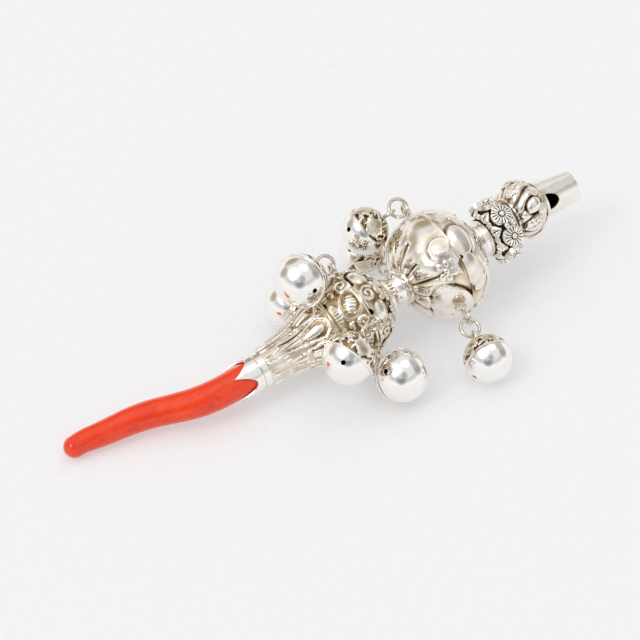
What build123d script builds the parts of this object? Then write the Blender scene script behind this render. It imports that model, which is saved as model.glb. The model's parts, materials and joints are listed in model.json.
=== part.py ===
from build123d import *
import os
from math import acos, cos, radians, sin

# Baby rattle: a silver stem with a coral teether at one end and a whistle at the other,
# and seven bells that hang from its two bulbs on jump rings. Millimetres, lying on z = 0,
# +X along the stem from the coral to the whistle, +Z up, origin under the box's centre.
# Stations run along the stem's axis from the centre of the upper bulb.

# ---- driving dimensions ----
STEM_TILT = 6.0               # degrees that the whistle end is raised
WALL = 0.6                    # silver shell
UPPER_RADIUS = 14.0
UPPER_REAR = -11.4
UPPER_FRONT = 11.4
LOWER_RADIUS = 10.6
LOWER_EQUATOR = -25.6
LOWER_REAR = -34.6
LOWER_FRONT = -16.8
LOWER_REAR_OPENING = 3.6      # hidden inside the trumpet
LOWER_FRONT_OPENING = 5.0
UPPER_OPENING = 4.4
LOWER_WAIST = 3.7             # of the two necks
UPPER_WAIST = 4.1
SOCKET_END = -52.3            # where the collar meets the trumpet
SOCKET_MOUTH_RADIUS = 8.6
COLLAR_EDGE = -61.0           # points of the crown collar
COLLAR_POINTS = 4
COLLAR_POINT_DEPTH = 5.0
COLLAR_RADIUS = 4.6
CORAL_END = -50.5             # end inside the socket
CEMENT_END = -46.5
CORAL_CLEARANCE = 0.05
COLLAR_WALL = 0.5
COLLAR_MOUTH_RADIUS = 4.5
COLLAR_POINT_GAP = 0.1        # the collar's edge left at the tip of each point
KNOP_REAR = 14.2              # rosette knop, then the fluted knop
KNOP_MIDDLE = 21.8
KNOP_FRONT = 31.2
KNOP_END_RADIUS = 4.6
ROSETTE_BALL_RADIUS = 7.2
FLUTED_RADIUS = 7.4
FLUTED_OFFSET = 1.3           # the fluted knop is soldered on off the stem's axis
FLUTED_OFFSET_ANGLE = 35
ROSETTES = 8
ROSETTE_RADIUS = 2.6
ROSETTE_TOP = 8.4             # from the stem's axis
FIRST_ROSETTE = 17            # degrees round the stem
MOUTH_BASE_RADIUS = 5.0
MOUTH_END = 42.2
MOUTH_HALF_WIDTH = 4.2
MOUTH_HALF_HEIGHT = 3.1
WINDOW_ANGLE = 150            # round the stem, 0 is +Y and 90 is up
WINDOW_START = KNOP_FRONT + 0.8
WINDOW_WIDTH = 4.4
WINDOW_LENGTH = 3.4
WINDWAY_HEIGHT = 1.0
CHAMBER_PLUG_RADIUS = 3.4

LUG_RADIUS = 1.6              # to the centre of the wire
LUG_HEIGHT = 3.0              # from the bulb's surface to the wire at the lug's top
RING_RADIUS = 2.3
EYELET_RADIUS = 1.4
WIRE_RADIUS = 0.45
WIRE_PITCH = 0.95             # centre to centre, where one wire hangs in another
LOWER_BELL_RADIUS = 6.4
UPPER_BELL_RADIUS = 5.9
BELL_WALL = 0.45
SEAM_WIDTH = 0.3
SEAM_THICKNESS = 0.5
SOUND_HOLE_RADIUS = 0.6
SOUND_HOLE_LATITUDE = -30
PELLET_RADIUS = 1.3
PELLET_CLEARANCE = 0.05

# The coral's bend: station, offset along +Y, offset up, radius
CORAL_BEND = [
    (CORAL_END, 0.0, 0.0, 3.8),
    (-55.0, 0.0, 0.0, 3.8),
    (-59.0, 0.0, 0.0, 3.8),
    (-63.0, 0.1, 0.0, 3.8),
    (-70.0, 1.4, -0.2, 3.7),
    (-77.0, 4.4, -0.6, 3.5),
    (-84.5, 7.0, -0.9, 3.3),
    (-92.0, 8.2, -1.0, 3.0),
    (-99.0, 9.0, -1.0, 2.65),
]

# Outline of the trumpet-shaped socket from the collar to the lower bulb: station, radius
TRUMPET = [
    (SOCKET_END, COLLAR_RADIUS),
    (-46.0, 5.1),
    (-40.0, 6.4),
    (-36.8, 7.8),
    (LOWER_REAR, SOCKET_MOUTH_RADIUS),
]

# Each bell: its bulb, the lug's station and its angle round the stem, and in degrees the
# ring's swing from the outward direction, the eyelet's slide round the ring, the bell's
# swing on the ring, and the turn of its sound holes about its own axis.
BELLS = {
    "bell_1": ("lower", LOWER_EQUATOR, 53, -68, 16, 35, 115),
    "bell_2": ("lower", LOWER_EQUATOR, 322, -83, 0, 54, 0),
    "bell_3": ("lower", LOWER_EQUATOR, 148, -83, 0, 22, 145),
    "bell_4": ("lower", LOWER_EQUATOR, 216, -42, -46, -79, 45),
    "bell_5": ("upper", 0.2, 34, -92, 1, -22, 65),
    "bell_6": ("upper", -2.5, 324, -51, 0, 64, 0),
    "bell_7": ("upper", -2.5, 200, -51, -38, -18, 165),
}
BULBS = {  # radius of the bulb and of its bells
    "lower": (LOWER_RADIUS, LOWER_BELL_RADIUS),
    "upper": (UPPER_RADIUS, UPPER_BELL_RADIUS),
}

STEM = Plane(
    origin=(0, 0, UPPER_RADIUS),
    x_dir=(0, 1, 0),
    z_dir=(cos(radians(STEM_TILT)), 0, sin(radians(STEM_TILT))),
)


# Puts a turned shape on the fluted knop's axis
OFF_AXIS = Rot(0, 0, FLUTED_OFFSET_ANGLE) * Pos(FLUTED_OFFSET, 0, 0)


# ---- turned shapes about the stem's axis ----
def turned(outline):
    """A closed outline of (station, radius) points turned about the axis."""
    wire = Polyline([(radius, 0, station) for station, radius in outline], close=True)
    return revolve(make_face(wire), Axis.Z)


def spline(points):
    return Spline([(radius, 0, station) for station, radius in points])


def dome(centre, end, radius, end_radius, steps=8):
    """Quarter oval from its equator to the opening at its end, as (station, radius) points."""
    opening = acos(end_radius / radius)
    angles = [opening * step / steps for step in range(steps + 1)]
    reach = (end - centre) / sin(opening)
    return [(centre + reach * sin(angle), radius * cos(angle)) for angle in angles]


def half_shell(centre, end, radius, opening):
    """One stamped half of a bulb, open where the neck joins it."""
    bore = opening - WALL
    inner_end = end - WALL if end > centre else end + WALL
    outer = dome(centre, end, radius, opening)
    inner = dome(centre, inner_end, radius - WALL, bore)
    lip = [outer[-1], (end, bore), inner[-1]]
    edges = [
        spline(outer),
        Polyline([(r, 0, t) for t, r in lip]),
        spline(inner),
        Line((radius - WALL, 0, centre), (radius, 0, centre)),
    ]
    return revolve(make_face(edges), Axis.Z)


def solid_bulb(centre, rear, front, radius, rear_opening, front_opening):
    """The whole bulb without its hollow, which cuts the feet of what is soldered on it."""
    halves = [dome(centre, rear, radius, rear_opening), dome(centre, front, radius, front_opening)]
    edges = [
        spline(halves[0]),
        spline(halves[1]),
        Polyline((rear_opening, 0, rear), (0, 0, rear), (0, 0, front), (front_opening, 0, front)),
    ]
    return revolve(make_face(edges), Axis.Z)


def waisted_sleeve(start, end, start_radius, waist, end_radius):
    """A neck between two bulbs, narrowest half way."""
    outer = [(start, start_radius), ((start + end) / 2, waist), (end, end_radius)]
    inner = [(station, radius - WALL) for station, radius in outer]
    edges = [spline(outer), spline(inner)]
    for station, radius in (outer[0], outer[-1]):
        edges.append(Line((radius - WALL, 0, station), (radius, 0, station)))
    return revolve(make_face(edges), Axis.Z)


def sleeve(start, end, start_radius, end_radius, wall=WALL):
    """A plain or tapered tube between two stations."""
    return turned(
        [
            (start, start_radius - wall),
            (start, start_radius),
            (end, end_radius),
            (end, end_radius - wall),
        ]
    )


def bead(start, end, radius, end_radius, wall=WALL):
    """A hollow round knop."""
    middle = (start + end) / 2
    edges = [
        ThreePointArc((end_radius, 0, start), (radius, 0, middle), (end_radius, 0, end)),
        ThreePointArc((end_radius - wall, 0, start), (radius - wall, 0, middle), (end_radius - wall, 0, end)),
        Line((end_radius - wall, 0, start), (end_radius, 0, start)),
        Line((end_radius - wall, 0, end), (end_radius, 0, end)),
    ]
    return revolve(make_face(edges), Axis.Z)


def trumpet_socket():
    inner = [(station, radius - WALL) for station, radius in TRUMPET]
    edges = [spline(TRUMPET), spline(inner)]
    for station, radius in (TRUMPET[0], TRUMPET[-1]):
        edges.append(Line((radius - WALL, 0, station), (radius, 0, station)))
    return revolve(make_face(edges), Axis.Z)


def crown_collar():
    """A tube whose open edge is cut into points by oval scallops."""
    collar = sleeve(COLLAR_EDGE, SOCKET_END, COLLAR_MOUTH_RADIUS, COLLAR_RADIUS, COLLAR_WALL)
    half_width = COLLAR_RADIUS * sin(radians(180 / COLLAR_POINTS)) - COLLAR_POINT_GAP
    for number in range(COLLAR_POINTS):
        angle = 360 * number / COLLAR_POINTS
        wall_plane = Plane(origin=(0, 0, COLLAR_EDGE), x_dir=(0, 1, 0), z_dir=(1, 0, 0))
        scallop = extrude(wall_plane * Ellipse(half_width, COLLAR_POINT_DEPTH), 2 * COLLAR_RADIUS)
        collar -= Rot(0, 0, angle) * scallop
    return collar


def coral_teether():
    """A bent, tapering stick with a rounded tip."""
    sections = []
    for index, (station, side, up, radius) in enumerate(CORAL_BEND):
        before = CORAL_BEND[max(index - 1, 0)]
        after = CORAL_BEND[min(index + 1, len(CORAL_BEND) - 1)]
        heading = Vector(after[1] - before[1], after[2] - before[2], after[0] - before[0])
        if index == 0:
            heading = Vector(0, 0, -1)
        section = Plane(origin=(side, up, station), x_dir=(0, 1, 0), z_dir=heading)
        sections.append(section * Circle(radius))
    station, side, up, radius = CORAL_BEND[-1]
    return loft(sections) + Pos(side, up, station) * Sphere(radius)


def cement():
    return turned(
        [
            (CORAL_END, 0),
            (CORAL_END, COLLAR_RADIUS - WALL - CORAL_CLEARANCE),
            (CEMENT_END, COLLAR_RADIUS - WALL - CORAL_CLEARANCE),
            (CEMENT_END, 0),
        ]
    )


def rosettes():
    """A row of round studs on the rosette knop."""
    middle = (KNOP_REAR + KNOP_MIDDLE) / 2
    ball = solid_knop(middle)
    stud = Pos(ROSETTE_TOP / 2, 0, middle) * Cylinder(ROSETTE_RADIUS, ROSETTE_TOP, rotation=(0, 90, 0))
    turns = [FIRST_ROSETTE + 360 * number / ROSETTES for number in range(ROSETTES)]
    studs = [Rot(0, 0, turn) * stud - ball for turn in turns]
    return Compound([shape.solid() for shape in studs])


def solid_knop(middle):
    """The rosette knop without its hollow."""
    arc = ThreePointArc(
        (KNOP_END_RADIUS, 0, KNOP_REAR), (ROSETTE_BALL_RADIUS, 0, middle), (KNOP_END_RADIUS, 0, KNOP_MIDDLE)
    )
    corners = [(KNOP_END_RADIUS, KNOP_REAR), (0, KNOP_REAR), (0, KNOP_MIDDLE), (KNOP_END_RADIUS, KNOP_MIDDLE)]
    ends = Polyline([(radius, 0, station) for radius, station in corners])
    return revolve(make_face([arc, ends]), Axis.Z)


# ---- whistle ----
def mouth_outline(inset):
    """The beak: round at the knop, and an oval at the lips that is thin across the windway."""
    base = Plane((0, 0, KNOP_FRONT)) * (OFF_AXIS * Circle(MOUTH_BASE_RADIUS - inset))
    lips = Plane((0, 0, MOUTH_END)) * Ellipse(MOUTH_HALF_HEIGHT - inset, MOUTH_HALF_WIDTH - inset)
    return loft([base, Rot(0, 0, WINDOW_ANGLE) * lips])


def window_cutter():
    """A block over the window, on the side of the beak that it opens."""
    station = WINDOW_START + WINDOW_LENGTH / 2
    block = Pos(KNOP_END_RADIUS, 0, station) * Box(KNOP_END_RADIUS, WINDOW_WIDTH, WINDOW_LENGTH)
    return Rot(0, 0, WINDOW_ANGLE) * block


def whistle_mouthpiece():
    return mouth_outline(0) - mouth_outline(WALL) - window_cutter()


def fipple_block():
    """Fills the beak from the window to the lips, but for a flat windway."""
    inside = mouth_outline(WALL)
    start = WINDOW_START + WINDOW_LENGTH
    reach = 2 * KNOP_END_RADIUS
    length = MOUTH_END - start
    windway_floor = MOUTH_HALF_HEIGHT - WALL - WINDWAY_HEIGHT
    keep = Pos(windway_floor - reach / 2, 0, start + length / 2) * Box(reach, reach, length)
    return inside & (Rot(0, 0, WINDOW_ANGLE) * keep)


def chamber_plug():
    """Closes the whistle's chamber at the knop."""
    rear = KNOP_FRONT - WALL
    rim = CHAMBER_PLUG_RADIUS
    return turned([(rear, 0), (rear, rim), (KNOP_FRONT, rim), (KNOP_FRONT, 0)])


# ---- bells ----
def chain_frames(bulb, station, lug_angle, ring_swing, eyelet_slide, bell_swing):
    """Where a lug, its jump ring and its bell hang, in the stem's own axes."""
    bulb_radius, bell_radius = BULBS[bulb]
    out = Vector(cos(radians(lug_angle)), sin(radians(lug_angle)), 0)
    round_stem = Vector(-sin(radians(lug_angle)), cos(radians(lug_angle)), 0)
    along = Vector(0, 0, 1)
    lug_top = Vector(0, 0, station) + out * (bulb_radius + LUG_HEIGHT)
    ring_out = out * cos(radians(ring_swing)) + along * sin(radians(ring_swing))
    ring_side = round_stem.cross(ring_out)
    ring_centre = lug_top + ring_out * (RING_RADIUS - WIRE_PITCH)
    hang = ring_out * cos(radians(eyelet_slide)) + ring_side * sin(radians(eyelet_slide))
    pivot = ring_centre + hang * RING_RADIUS
    bell_out = hang * cos(radians(bell_swing)) + round_stem * sin(radians(bell_swing))
    eyelet_centre = pivot + bell_out * (EYELET_RADIUS - WIRE_PITCH)
    bell_centre = eyelet_centre + bell_out * (EYELET_RADIUS + bell_radius)
    return {
        "lug": Plane(origin=lug_top - out * LUG_RADIUS, x_dir=out, z_dir=along),
        "ring": Plane(origin=ring_centre, x_dir=ring_out, z_dir=round_stem),
        "bell": Plane(origin=bell_centre, x_dir=round_stem.cross(hang), z_dir=bell_out * -1),
        "ring_pivot": lug_top,
        "ring_axis": round_stem,
        "bell_pivot": pivot,
        "bell_axis": round_stem.cross(hang),
    }


def lug(frame, bulb_solid):
    return frame * Torus(LUG_RADIUS, WIRE_RADIUS) - bulb_solid


def jump_ring():
    return Torus(RING_RADIUS, WIRE_RADIUS)


def bell_eyelet(radius):
    """A wire loop that stands on the cap, in the plane across the ring's wire."""
    loop = Plane(origin=(0, 0, radius + EYELET_RADIUS), x_dir=(0, 0, 1), z_dir=(1, 0, 0))
    return loop * Torus(EYELET_RADIUS, WIRE_RADIUS) - Sphere(radius)


def half_bell(radius, side):
    ball = Sphere(radius) - Sphere(radius - BELL_WALL)
    return ball & (Pos(0, 0, side * radius) * Box(3 * radius, 3 * radius, 2 * radius))


def bell_cap(radius):
    return half_bell(radius, 1)


def bell_bowl(radius):
    """The lower half with its seam flange and two sound holes."""
    flange = Pos(0, 0, -SEAM_THICKNESS / 2) * Cylinder(radius + SEAM_WIDTH, SEAM_THICKNESS)
    bowl = half_bell(radius, -1) + (flange - Sphere(radius - BELL_WALL))
    for side in (0, 180):
        drill = Pos(radius, 0, 0) * Cylinder(SOUND_HOLE_RADIUS, radius, rotation=(0, 90, 0))
        bowl -= Rot(0, 0, side) * Rot(0, -SOUND_HOLE_LATITUDE, 0) * drill
    return bowl


# ---- the whole rattle ----
def stem_parts():
    parts = {
        "coral_teether": coral_teether(),
        "socket_cement": cement(),
        "crown_collar": crown_collar(),
        "trumpet_socket": trumpet_socket(),
        "lower_bulb_rear_shell": half_shell(LOWER_EQUATOR, LOWER_REAR, LOWER_RADIUS, LOWER_REAR_OPENING),
        "lower_bulb_front_shell": half_shell(LOWER_EQUATOR, LOWER_FRONT, LOWER_RADIUS, LOWER_FRONT_OPENING),
        "lower_neck_collar": waisted_sleeve(
            LOWER_FRONT, UPPER_REAR, LOWER_FRONT_OPENING, LOWER_WAIST, UPPER_OPENING
        ),
        "upper_bulb_rear_shell": half_shell(0, UPPER_REAR, UPPER_RADIUS, UPPER_OPENING),
        "upper_bulb_front_shell": half_shell(0, UPPER_FRONT, UPPER_RADIUS, UPPER_OPENING),
        "upper_neck_collar": waisted_sleeve(
            UPPER_FRONT, KNOP_REAR, UPPER_OPENING, UPPER_WAIST, KNOP_END_RADIUS
        ),
        "rosette_knop": bead(KNOP_REAR, KNOP_MIDDLE, ROSETTE_BALL_RADIUS, KNOP_END_RADIUS),
        "rosettes": rosettes(),
        "fluted_knop": OFF_AXIS * bead(KNOP_MIDDLE, KNOP_FRONT, FLUTED_RADIUS, KNOP_END_RADIUS),
        "whistle_mouthpiece": whistle_mouthpiece(),
        "fipple_block": fipple_block(),
        "chamber_plug": OFF_AXIS * chamber_plug(),
    }
    return {name: STEM * shape for name, shape in parts.items()}


def bell_parts():
    lower_ends = (LOWER_REAR, LOWER_FRONT)
    lower_openings = (LOWER_REAR_OPENING, LOWER_FRONT_OPENING)
    solids = {
        "lower": solid_bulb(LOWER_EQUATOR, *lower_ends, LOWER_RADIUS, *lower_openings),
        "upper": solid_bulb(0, UPPER_REAR, UPPER_FRONT, UPPER_RADIUS, UPPER_OPENING, UPPER_OPENING),
    }
    parts = {}
    for name, (bulb, *chain, hole_turn) in BELLS.items():
        frames = chain_frames(bulb, *chain)
        bell_radius = BULBS[bulb][1]
        in_bell = STEM.location * frames["bell"].location
        parts[name + "_lug"] = STEM * lug(frames["lug"], solids[bulb])
        parts[name + "_ring"] = STEM.location * frames["ring"].location * jump_ring()
        parts[name + "_eyelet"] = in_bell * bell_eyelet(bell_radius)
        parts[name + "_cap"] = in_bell * bell_cap(bell_radius)
        parts[name + "_bowl"] = in_bell * Rot(0, 0, hole_turn) * bell_bowl(bell_radius)
        centre = in_bell.position
        drop = bell_radius - BELL_WALL - PELLET_RADIUS - PELLET_CLEARANCE
        parts[name + "_pellet"] = Pos(centre.X, centre.Y, centre.Z - drop) * Sphere(PELLET_RADIUS)
    return parts


def rest_shift(parts):
    """Puts the box's centre over the origin and its base on z = 0."""
    boxes = [shape.bounding_box() for shape in parts.values()]
    low = [min(getattr(box.min, axis) for box in boxes) for axis in "XYZ"]
    high = [max(getattr(box.max, axis) for box in boxes) for axis in "XYZ"]
    return Pos(-(low[0] + high[0]) / 2, -(low[1] + high[1]) / 2, -low[2])


parts = stem_parts() | bell_parts()
SHIFT = rest_shift(parts)
os.makedirs("parts", exist_ok=True)
for name, shape in parts.items():
    export_step(SHIFT * shape, f"parts/{name}.step")
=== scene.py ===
import json
import math

import bpy
import numpy as np
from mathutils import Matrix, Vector


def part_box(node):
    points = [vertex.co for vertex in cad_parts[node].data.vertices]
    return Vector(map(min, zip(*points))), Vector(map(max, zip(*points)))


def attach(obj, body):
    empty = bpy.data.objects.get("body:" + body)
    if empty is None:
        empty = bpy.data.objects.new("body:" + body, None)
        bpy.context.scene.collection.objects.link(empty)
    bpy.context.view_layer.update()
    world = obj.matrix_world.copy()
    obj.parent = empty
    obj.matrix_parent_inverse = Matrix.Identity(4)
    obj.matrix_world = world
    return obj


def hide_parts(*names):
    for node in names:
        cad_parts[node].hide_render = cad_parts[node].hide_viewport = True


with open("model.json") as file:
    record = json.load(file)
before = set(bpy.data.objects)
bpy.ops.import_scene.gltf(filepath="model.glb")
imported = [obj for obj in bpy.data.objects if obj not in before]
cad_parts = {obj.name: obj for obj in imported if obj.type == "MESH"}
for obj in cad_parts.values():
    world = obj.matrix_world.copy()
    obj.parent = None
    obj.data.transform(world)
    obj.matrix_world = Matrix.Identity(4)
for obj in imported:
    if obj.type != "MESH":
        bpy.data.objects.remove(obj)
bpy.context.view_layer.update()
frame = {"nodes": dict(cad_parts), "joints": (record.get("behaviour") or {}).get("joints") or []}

# Silver coral-and-bells rattle. Shapes are worked out in millimetres in the stem's own
# frame: station along the stem from the upper bulb's centre, angle round it in degrees
# (0 is +Y, 90 is up) and radius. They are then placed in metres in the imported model's frame.
# Relief features list their station and angle first, then their sizes, height, turn and base.
MM = 0.001
STEM_TILT = math.radians(6.0)

# ---- stations and radii of the stem, as in the CAD ----
COLLAR_EDGE, SOCKET_END = -61.0, -52.3
COLLAR_RADIUS = 4.6
COLLAR_POINTS, COLLAR_POINT_DEPTH, FIRST_POINT = 4, 5.0, 25.0
LOWER_REAR, LOWER_EQUATOR, LOWER_FRONT = -34.6, -25.6, -16.8
LOWER_RADIUS, LOWER_OPENING = 10.6, 5.0
UPPER_REAR, UPPER_FRONT, UPPER_RADIUS, UPPER_OPENING = -11.4, 11.4, 14.0, 4.4
LOWER_WAIST, UPPER_WAIST = 3.7, 4.1
KNOP_REAR, KNOP_MIDDLE, KNOP_FRONT = 14.2, 21.8, 31.2
KNOP_END_RADIUS = 4.6
ROSETTE_BALL_RADIUS, FLUTED_RADIUS = 7.2, 7.4
FLUTED_OFFSET, FLUTED_OFFSET_ANGLE = 1.3, math.radians(35)
FLUTED_CENTRE = (FLUTED_OFFSET * math.cos(FLUTED_OFFSET_ANGLE), FLUTED_OFFSET * math.sin(FLUTED_OFFSET_ANGLE))
MOUTH_BASE_RADIUS = 5.0
MOUTH_END, MOUTH_HALF_WIDTH, MOUTH_HALF_HEIGHT = 42.2, 4.2, 3.1
WALL = 0.6
GRID = 0.15
LOWEST = -9
WIRE_RADIUS = 0.45
RING_RADIUS = 2.3
LOWER_BELL_RADIUS, UPPER_BELL_RADIUS = 6.4, 5.9
BELL_WALL, SEAM_WIDTH, SEAM_THICKNESS = 0.45, 0.3, 0.5
SOUND_HOLE_RADIUS, SOUND_HOLE_LATITUDE = 0.6, -30.0
ROSETTE_RADIUS, ROSETTE_TOP = 2.6, 8.4
FIRST_ROSETTE = 17.0
WINDOW_ANGLE = 150.0
WINDOW_START, WINDOW_WIDTH, WINDOW_LENGTH = 0.8, 4.4, 3.4
FACET_ANGLE, MOUTH_WALL = 118.0, 0.55
LOWER_BELLS = 4
# Where each bell's first sound hole lies round it, in degrees.
BELL_HOLES = {1: 115, 2: 0, 3: 145, 4: 45, 5: 65, 6: 0, 7: 165}


def box_centre(*nodes):
    """The centre of the box round several CAD nodes, in metres."""
    boxes = [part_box(node) for node in nodes]
    low = [min(box[0][axis] for box in boxes) for axis in range(3)]
    high = [max(box[1][axis] for box in boxes) for axis in range(3)]
    return (np.array(low) + np.array(high)) / 2


STEM_ORIGIN = box_centre("upper_bulb_rear_shell", "upper_bulb_front_shell")
ALONG = np.array([math.cos(STEM_TILT), 0, math.sin(STEM_TILT)])
SIDE = np.array([0.0, 1.0, 0.0])
UP = np.cross(ALONG, SIDE)


def on_stem(station, angle, radius, centre=(0.0, 0.0)):
    """Points in the model frame, in metres, from stem coordinates about a centre off the axis."""
    turn = np.radians(angle)
    across, up = centre[0] + radius * np.cos(turn), centre[1] + radius * np.sin(turn)
    flat = np.stack(np.broadcast_arrays(across, up, station), axis=-1)
    return STEM_ORIGIN + MM * (flat @ np.stack([SIDE, UP, ALONG]))


# ---- outlines: (station, radius) points, close together ----
def smooth_outline(points, spacing):
    """A smooth curve through (station, radius) points, resampled evenly."""
    points = np.array(points, float)
    steps = np.r_[0, np.cumsum(np.hypot(*np.diff(points, axis=0).T))]
    fine = np.linspace(0, steps[-1], 400)
    slopes = np.gradient(points, steps, axis=0)
    index = np.clip(np.searchsorted(steps, fine, side="right") - 1, 0, len(steps) - 2)
    width = steps[index + 1] - steps[index]
    share = ((fine - steps[index]) / width)[:, None]
    width = width[:, None]
    curve = (
        (2 * share**3 - 3 * share**2 + 1) * points[index]
        + (share**3 - 2 * share**2 + share) * width * slopes[index]
        + (3 * share**2 - 2 * share**3) * points[index + 1]
        + (share**3 - share**2) * width * slopes[index + 1]
    )
    return resample(curve, spacing)


def resample(curve, spacing):
    """Points at even steps along a polyline of (station, radius)."""
    curve = np.array(curve, float)
    steps = np.r_[0, np.cumsum(np.hypot(*np.diff(curve, axis=0).T))]
    count = max(int(round(steps[-1] / spacing)), 2)
    even = np.linspace(0, steps[-1], count + 1)
    return np.stack([np.interp(even, steps, curve[:, 0]), np.interp(even, steps, curve[:, 1])], axis=1)


def dome(centre, end, radius, end_radius):
    """Quarter oval from its equator to the opening at its end."""
    angles = np.linspace(0, math.acos(end_radius / radius), 200)
    reach = (end - centre) / math.sin(angles[-1])
    return np.stack([centre + reach * np.sin(angles), radius * np.cos(angles)], axis=1)


def bead(start, end, radius, end_radius):
    """A circular arc over a knop."""
    half, rise = (end - start) / 2, radius - end_radius
    arc_radius = (half**2 + rise**2) / (2 * rise)
    spread = np.linspace(-1, 1, 300) * math.asin(half / arc_radius)
    middle = (start + end) / 2
    return np.stack(
        [middle + arc_radius * np.sin(spread), radius - arc_radius * (1 - np.cos(spread))], axis=1
    )


# ---- relief: a height field over a turned surface ----
class Relief:
    """Chased work on a turned surface: heights in mm over (station, angle)."""

    def __init__(self, outline, columns):
        self.outline = outline
        self.station, self.radius = outline[:, 0], outline[:, 1]
        self.arc = np.r_[0, np.cumsum(np.hypot(*np.diff(outline, axis=0).T))]
        self.angle = np.arange(columns) * 360 / columns
        self.height = np.zeros((len(outline), columns))

    def place(self, station, angle, turn=0.0):
        """Distances in mm along and across from a place on the surface, turned by an angle."""
        order = np.argsort(self.station)
        arc = np.interp(station, self.station[order], self.arc[order])
        along = np.broadcast_to((self.arc - arc)[:, None], self.height.shape)
        if self.station[-1] < self.station[0]:
            along = -along
        wrapped = (self.angle - angle + 180) % 360 - 180
        across = np.radians(wrapped)[None, :] * self.radius[:, None]
        c, s = math.cos(math.radians(turn)), math.sin(math.radians(turn))
        return along * c + across * s, across * c - along * s

    def raise_to(self, height):
        self.height = np.maximum(self.height, height)

    def boss(self, station, angle, length, width, height, turn=0.0, base=0.0):
        """A smooth oval dome."""
        along, across = self.place(station, angle, turn)
        share = np.clip(1 - (along / length) ** 2 - (across / width) ** 2, 0, 1)
        dome_height = np.where(share > 0, base + height * share**0.6, LOWEST)
        self.raise_to(dome_height)

    def outline_oval(self, station, angle, length, width, line, height, turn=0.0):
        """A raised or sunk line round an oval."""
        along, across = self.place(station, angle, turn)
        share = np.sqrt((along / length) ** 2 + (across / width) ** 2)
        distance = (share - 1) * min(length, width)
        self.height += height * np.exp(-((distance / line) ** 2))

    def curve(self, place, path, line, height, raised=True):
        """A raised or sunk line along a path of (along, across) points round a place."""
        along, across = self.place(*place)
        reach = max(np.abs(path).max() + 4 * line, 0.5)
        rows, columns = np.nonzero((np.abs(along) < reach) & (np.abs(across) < reach))
        here = np.stack([along[rows, columns], across[rows, columns]], axis=1)
        nearest = np.full(len(here), 1e9)
        for start, end in zip(path[:-1], path[1:]):
            step = end - start
            share = np.clip(((here - start) @ step) / max(step @ step, 1e-9), 0, 1)
            gap = here - start - share[:, None] * step
            nearest = np.minimum(nearest, (gap**2).sum(axis=1))
        added = height * np.exp(-nearest / line**2)
        if raised:
            self.height[rows, columns] = np.maximum(self.height[rows, columns], added)
        else:
            self.height[rows, columns] += added

    def groove(self, place, path, line, depth):
        """A sunk line along a path."""
        self.curve(place, path, line, -depth, raised=False)

    def scroll(self, station, angle, size, turns, line, height, turn=0.0, hand=1):
        """A volute that winds in towards its eye."""
        wind = np.linspace(0, turns * 2 * math.pi, int(28 * turns))
        reach = size * (1 - 0.8 * wind / wind[-1])
        path = np.stack([reach * np.cos(wind), hand * reach * np.sin(wind)], axis=1)
        self.curve((station, angle, turn), path, line, height)

    def leaf(self, station, angle, length, width, height, turn=0.0, veins=5, bend=0.0, base=0.0):
        """A pointed leaf with a midrib and slanted veins; its foot is at the place."""
        along, across = self.place(station, angle, turn)
        share = along / length
        inside = (share > 0) & (share < 1)
        safe = np.clip(share, 0, 1)
        across = across - bend * length * np.sin(safe * math.pi)
        half = width * np.sin(math.pi * safe**0.75) ** 0.8 + 1e-6
        edge = np.clip(1 - (across / half) ** 2, 0, 1)
        leaf = base + height * edge**0.45
        leaf = leaf - 0.45 * height * np.exp(-((across / (0.08 * width)) ** 2))
        slant = (share * veins * 2 - np.abs(across) / width * 1.5) * math.pi
        leaf = leaf - 0.16 * height * (0.5 + 0.5 * np.cos(2 * slant)) * (edge > 0)
        self.raise_to(np.where(inside & (edge > 0), leaf, LOWEST))

    def ring(self, station, line, height):
        """A raised or sunk line right round the stem."""
        self.height += height * np.exp(-(((self.station - station) / line) ** 2))[:, None]

    def dots(self, places, size, depth):
        """Punched dots."""
        for station, angle in places:
            along, across = self.place(station, angle)
            self.height -= depth * np.exp(-(along**2 + across**2) / size**2)

    def hammer(self, depth, seed):
        """Slight unevenness left by the hammer."""
        random = np.random.default_rng(seed)
        for wave in range(14):
            turns = random.integers(2, 9)
            pitch = random.uniform(0.25, 1.1)
            phase = random.uniform(0, 2 * math.pi, 2)
            along = np.sin(pitch * self.arc + phase[0])[:, None]
            round_stem = np.sin(np.radians(self.angle) * turns + phase[1])[None, :]
            self.height += depth / 4 * along * round_stem

    def fade(self, rear, front):
        """Brings the relief down to nothing near the two ends of the outline."""
        from_start = self.arc / max(rear, 1e-6)
        from_end = (self.arc[-1] - self.arc) / max(front, 1e-6)
        share = np.clip(np.minimum(from_start, from_end), 0, 1)
        self.height *= (share**2 * (3 - 2 * share))[:, None]

    def outward(self):
        """The outline's normals, which point away from the stem."""
        slope = np.gradient(self.outline, self.arc, axis=0)
        normal = np.stack([-slope[:, 1], slope[:, 0]], axis=1)
        return normal * np.sign(normal[:, 1].sum())

    def surface(self):
        """(station, angle, radius) of the surface with its relief."""
        outward = self.outward()
        station = self.station[:, None] + outward[:, :1] * self.height
        radius = self.radius[:, None] + outward[:, 1:] * self.height
        return station, np.broadcast_to(self.angle[None, :], station.shape), radius

    def hold(self, low, high):
        """Squashes the relief smoothly so that it stays between two heights."""
        middle, half = (low + high) / 2, (high - low) / 2
        self.height = middle + half * np.tanh((self.height - middle) / half)

    def cavity(self, reach_mm, depth):
        """0 on high places to 1 in the hollows, by comparison with the blurred relief."""
        pitch = self.arc[1] - self.arc[0]
        rows = blurred(self.height, reach_mm / pitch, 0, False)
        mean_pitch = np.radians(360 / len(self.angle)) * self.radius.mean()
        both = blurred(rows, reach_mm / mean_pitch, 1, True)
        return np.clip(0.5 + (both - self.height) / depth, 0, 1)


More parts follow.
